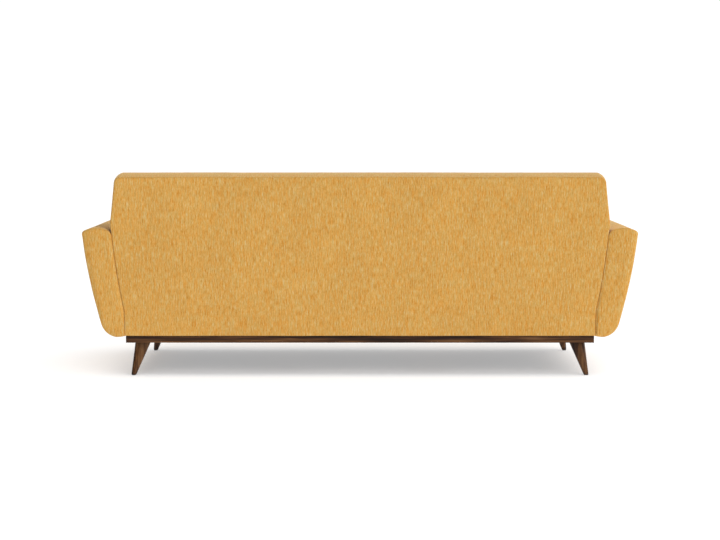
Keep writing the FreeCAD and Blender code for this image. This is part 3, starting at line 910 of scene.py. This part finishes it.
def dress_frame():
    """Materials for the CAD nodes that show as they are."""
    walnut_x = walnut("walnut_along_x", 0)
    walnut_y = walnut("walnut_along_y", 1)
    walnut_z = walnut("walnut_along_z", 2)
    timber = [pale_timber("beech_" + letter, axis, (0.48, 0.31, 0.16), (0.66, 0.47, 0.28))
              for axis, letter in enumerate("xyz")]
    plywood = pale_timber("plywood", 1, (0.52, 0.36, 0.20), (0.70, 0.53, 0.34))
    jute = woven("jute", (0.36, 0.24, 0.12), (0.55, 0.40, 0.24), 0.003)
    oiled = steel("spring_steel", (0.32, 0.32, 0.33), 0.35)
    zinc = steel("zinc_steel", (0.70, 0.70, 0.67), 0.3)
    glide = nylon("nylon")
    by_name = {
        "plinth_rail_front": walnut_x, "plinth_rail_back": walnut_x,
        "plinth_rail_left": walnut_y, "plinth_rail_right": walnut_y, "plinth_stretchers": walnut_y,
        "seat_rail_front": timber[0], "seat_rail_back": timber[0],
        "seat_rail_left": timber[1], "seat_rail_right": timber[1], "seat_cross_rails": timber[1],
        "seat_corner_blocks": timber[2], "back_top_rail": timber[0], "back_foot_rail": timber[0],
        "back_posts": timber[2], "back_webbing_across": jute, "back_webbing_upright": jute,
        "seat_springs": oiled, "spring_clips": oiled, "spring_tie_wires": oiled,
        "arm_bolts": zinc, "leg_hanger_bolts": zinc, "leg_t_nuts": zinc, "plinth_screws": zinc,
        "leg_glides": glide,
    }
    for side in SIDES:
        by_name["arm_plywood_" + side] = plywood
        by_name["arm_ribs_" + side] = plywood
        by_name["arm_rails_" + side] = timber[1]
        by_name["leg_front_" + side] = walnut_z
        by_name["leg_back_" + side] = walnut_z
    for name, material in by_name.items():
        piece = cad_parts[name]
        piece.data.materials.clear()
        piece.data.materials.append(material)
    for side in ("front", "back", "left", "right"):
        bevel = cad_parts["plinth_rail_" + side].modifiers.new("eased_edges", "BEVEL")
        bevel.width = 0.0015
        bevel.segments = 2
        bevel.limit_method = "ANGLE"


# ---------------------------------------------------------------- stage, light and camera

def build_floor():
    """A wide white floor that glows a little, like a lit studio sweep."""
    reach = 60.0
    corners = [(x * reach, y * reach, 0) for x, y in ((-1, -1), (1, -1), (1, 1), (-1, 1))]
    floor = mesh_object("floor", corners, [(0, 1, 2, 3)])
    material, tree = new_material("floor")
    shader = principled(tree, Roughness=1.0)
    shader.inputs["Base Color"].default_value = (0.66, 0.66, 0.66, 1)
    shader.inputs["Specular IOR Level"].default_value = 0.0
    shader.inputs["Emission Color"].default_value = (1, 1, 1, 1)
    shader.inputs["Emission Strength"].default_value = 0.36
    floor.data.materials.append(material)
    return floor


def build_world():
    """A white surround whose light falls off toward the sofa's +X side."""
    world = bpy.data.worlds.new("studio")
    bpy.context.scene.world = world
    world.use_nodes = True
    tree = world.node_tree
    tree.nodes.clear()
    where = node(tree, "ShaderNodeTexCoord")
    parts = node(tree, "ShaderNodeSeparateXYZ")
    tree.links.new(where.outputs["Generated"], parts.inputs[0])
    slope = node(tree, "ShaderNodeMapRange")
    tree.links.new(parts.outputs["X"], slope.inputs["Value"])
    for name, value in (("From Min", -1.0), ("From Max", 1.0), ("To Min", 1.0), ("To Max", 0.1)):
        slope.inputs[name].default_value = value
    surround = node(tree, "ShaderNodeBackground", Strength=1.0)
    white = node(tree, "ShaderNodeBackground", Strength=1.05)
    paths = node(tree, "ShaderNodeLightPath")
    choice = node(tree, "ShaderNodeMixShader")
    output = node(tree, "ShaderNodeOutputWorld")
    tree.links.new(slope.outputs["Result"], surround.inputs["Strength"])
    tree.links.new(paths.outputs["Is Camera Ray"], choice.inputs[0])
    tree.links.new(surround.outputs[0], choice.inputs[1])
    tree.links.new(white.outputs[0], choice.inputs[2])
    tree.links.new(choice.outputs[0], output.inputs["Surface"])
    for background in (surround, white):
        background.inputs["Color"].default_value = (1, 1, 1, 1)


def link_group(name, objects, state):
    """A light-linking collection whose objects all have one state."""
    group = bpy.data.collections.new(name)
    for thing in objects:
        group.objects.link(thing)
    for entry in group.collection_objects:
        entry.light_linking.link_state = state
    return group


def soft_sun(name, strength, angle, toward, floor, takes):
    """A wide distant light on the floor only (takes "INCLUDE") or on all but it ("EXCLUDE")."""
    light = bpy.data.lights.new(name, "SUN")
    light.energy = strength
    light.angle = math.radians(angle)
    lamp = bpy.data.objects.new(name, light)
    bpy.context.scene.collection.objects.link(lamp)
    lamp.rotation_euler = Vector(toward).to_track_quat("Z", "Y").to_euler()
    lamp.light_linking.receiver_collection = link_group(name + "_floor", [floor], takes)
    return lamp


def build_lights(floor):
    """A soft key behind the sofa's -X side, a fill in front, and a light on the white floor.

    The arms and the back don't shade the floor's light, so the shadow is the seat platform's.
    """
    soft_sun("key", 1.62, 34, (-0.58, 0.54, 0.61), floor, "EXCLUDE")
    soft_sun("fill", 1.20, 45, (-0.10, -0.92, 0.38), floor, "EXCLUDE")
    sweep = soft_sun("sweep", 2.1, 80, (-0.25, 0.30, 0.92), floor, "INCLUDE")
    upper = [thing for thing in bpy.context.scene.objects
             if thing.type == "MESH" and thing.name.startswith(("arm_", "back_"))]
    sweep.light_linking.blocker_collection = link_group("sweep_free", upper, "EXCLUDE")


def build_camera():
    """A long lens square to the sofa's back, a little above its top."""
    camera = bpy.data.cameras.new("camera")
    camera.sensor_width = 36.0
    camera.lens = 85.0
    downward = math.radians(5.049)
    holder = bpy.data.objects.new("camera", camera)
    bpy.context.scene.collection.objects.link(holder)
    holder.location = (0.0, 7.1245, 1.0231)
    holder.rotation_euler = (math.pi / 2 - downward, 0, math.pi)
    bpy.context.scene.camera = holder


def main():
    """Build everything around the frame."""
    gold = chenille("gold_chenille")
    build_camera()
    build_world()
    floor = build_floor()
    build_arms(gold)
    build_back(gold)
    build_front_border(gold)
    build_deck(woven("deck_cloth", (0.34, 0.21, 0.07), (0.46, 0.30, 0.11), 0.0015))
    build_dust_cover(woven("dust_cloth", (0.02, 0.02, 0.022), (0.035, 0.035, 0.038), 0.002))
    build_cushions(gold)
    build_back_cushions(gold)
    dress_frame()
    build_lights(floor)
    bpy.context.scene.view_settings.view_transform = "Standard"
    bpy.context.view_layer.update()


main()
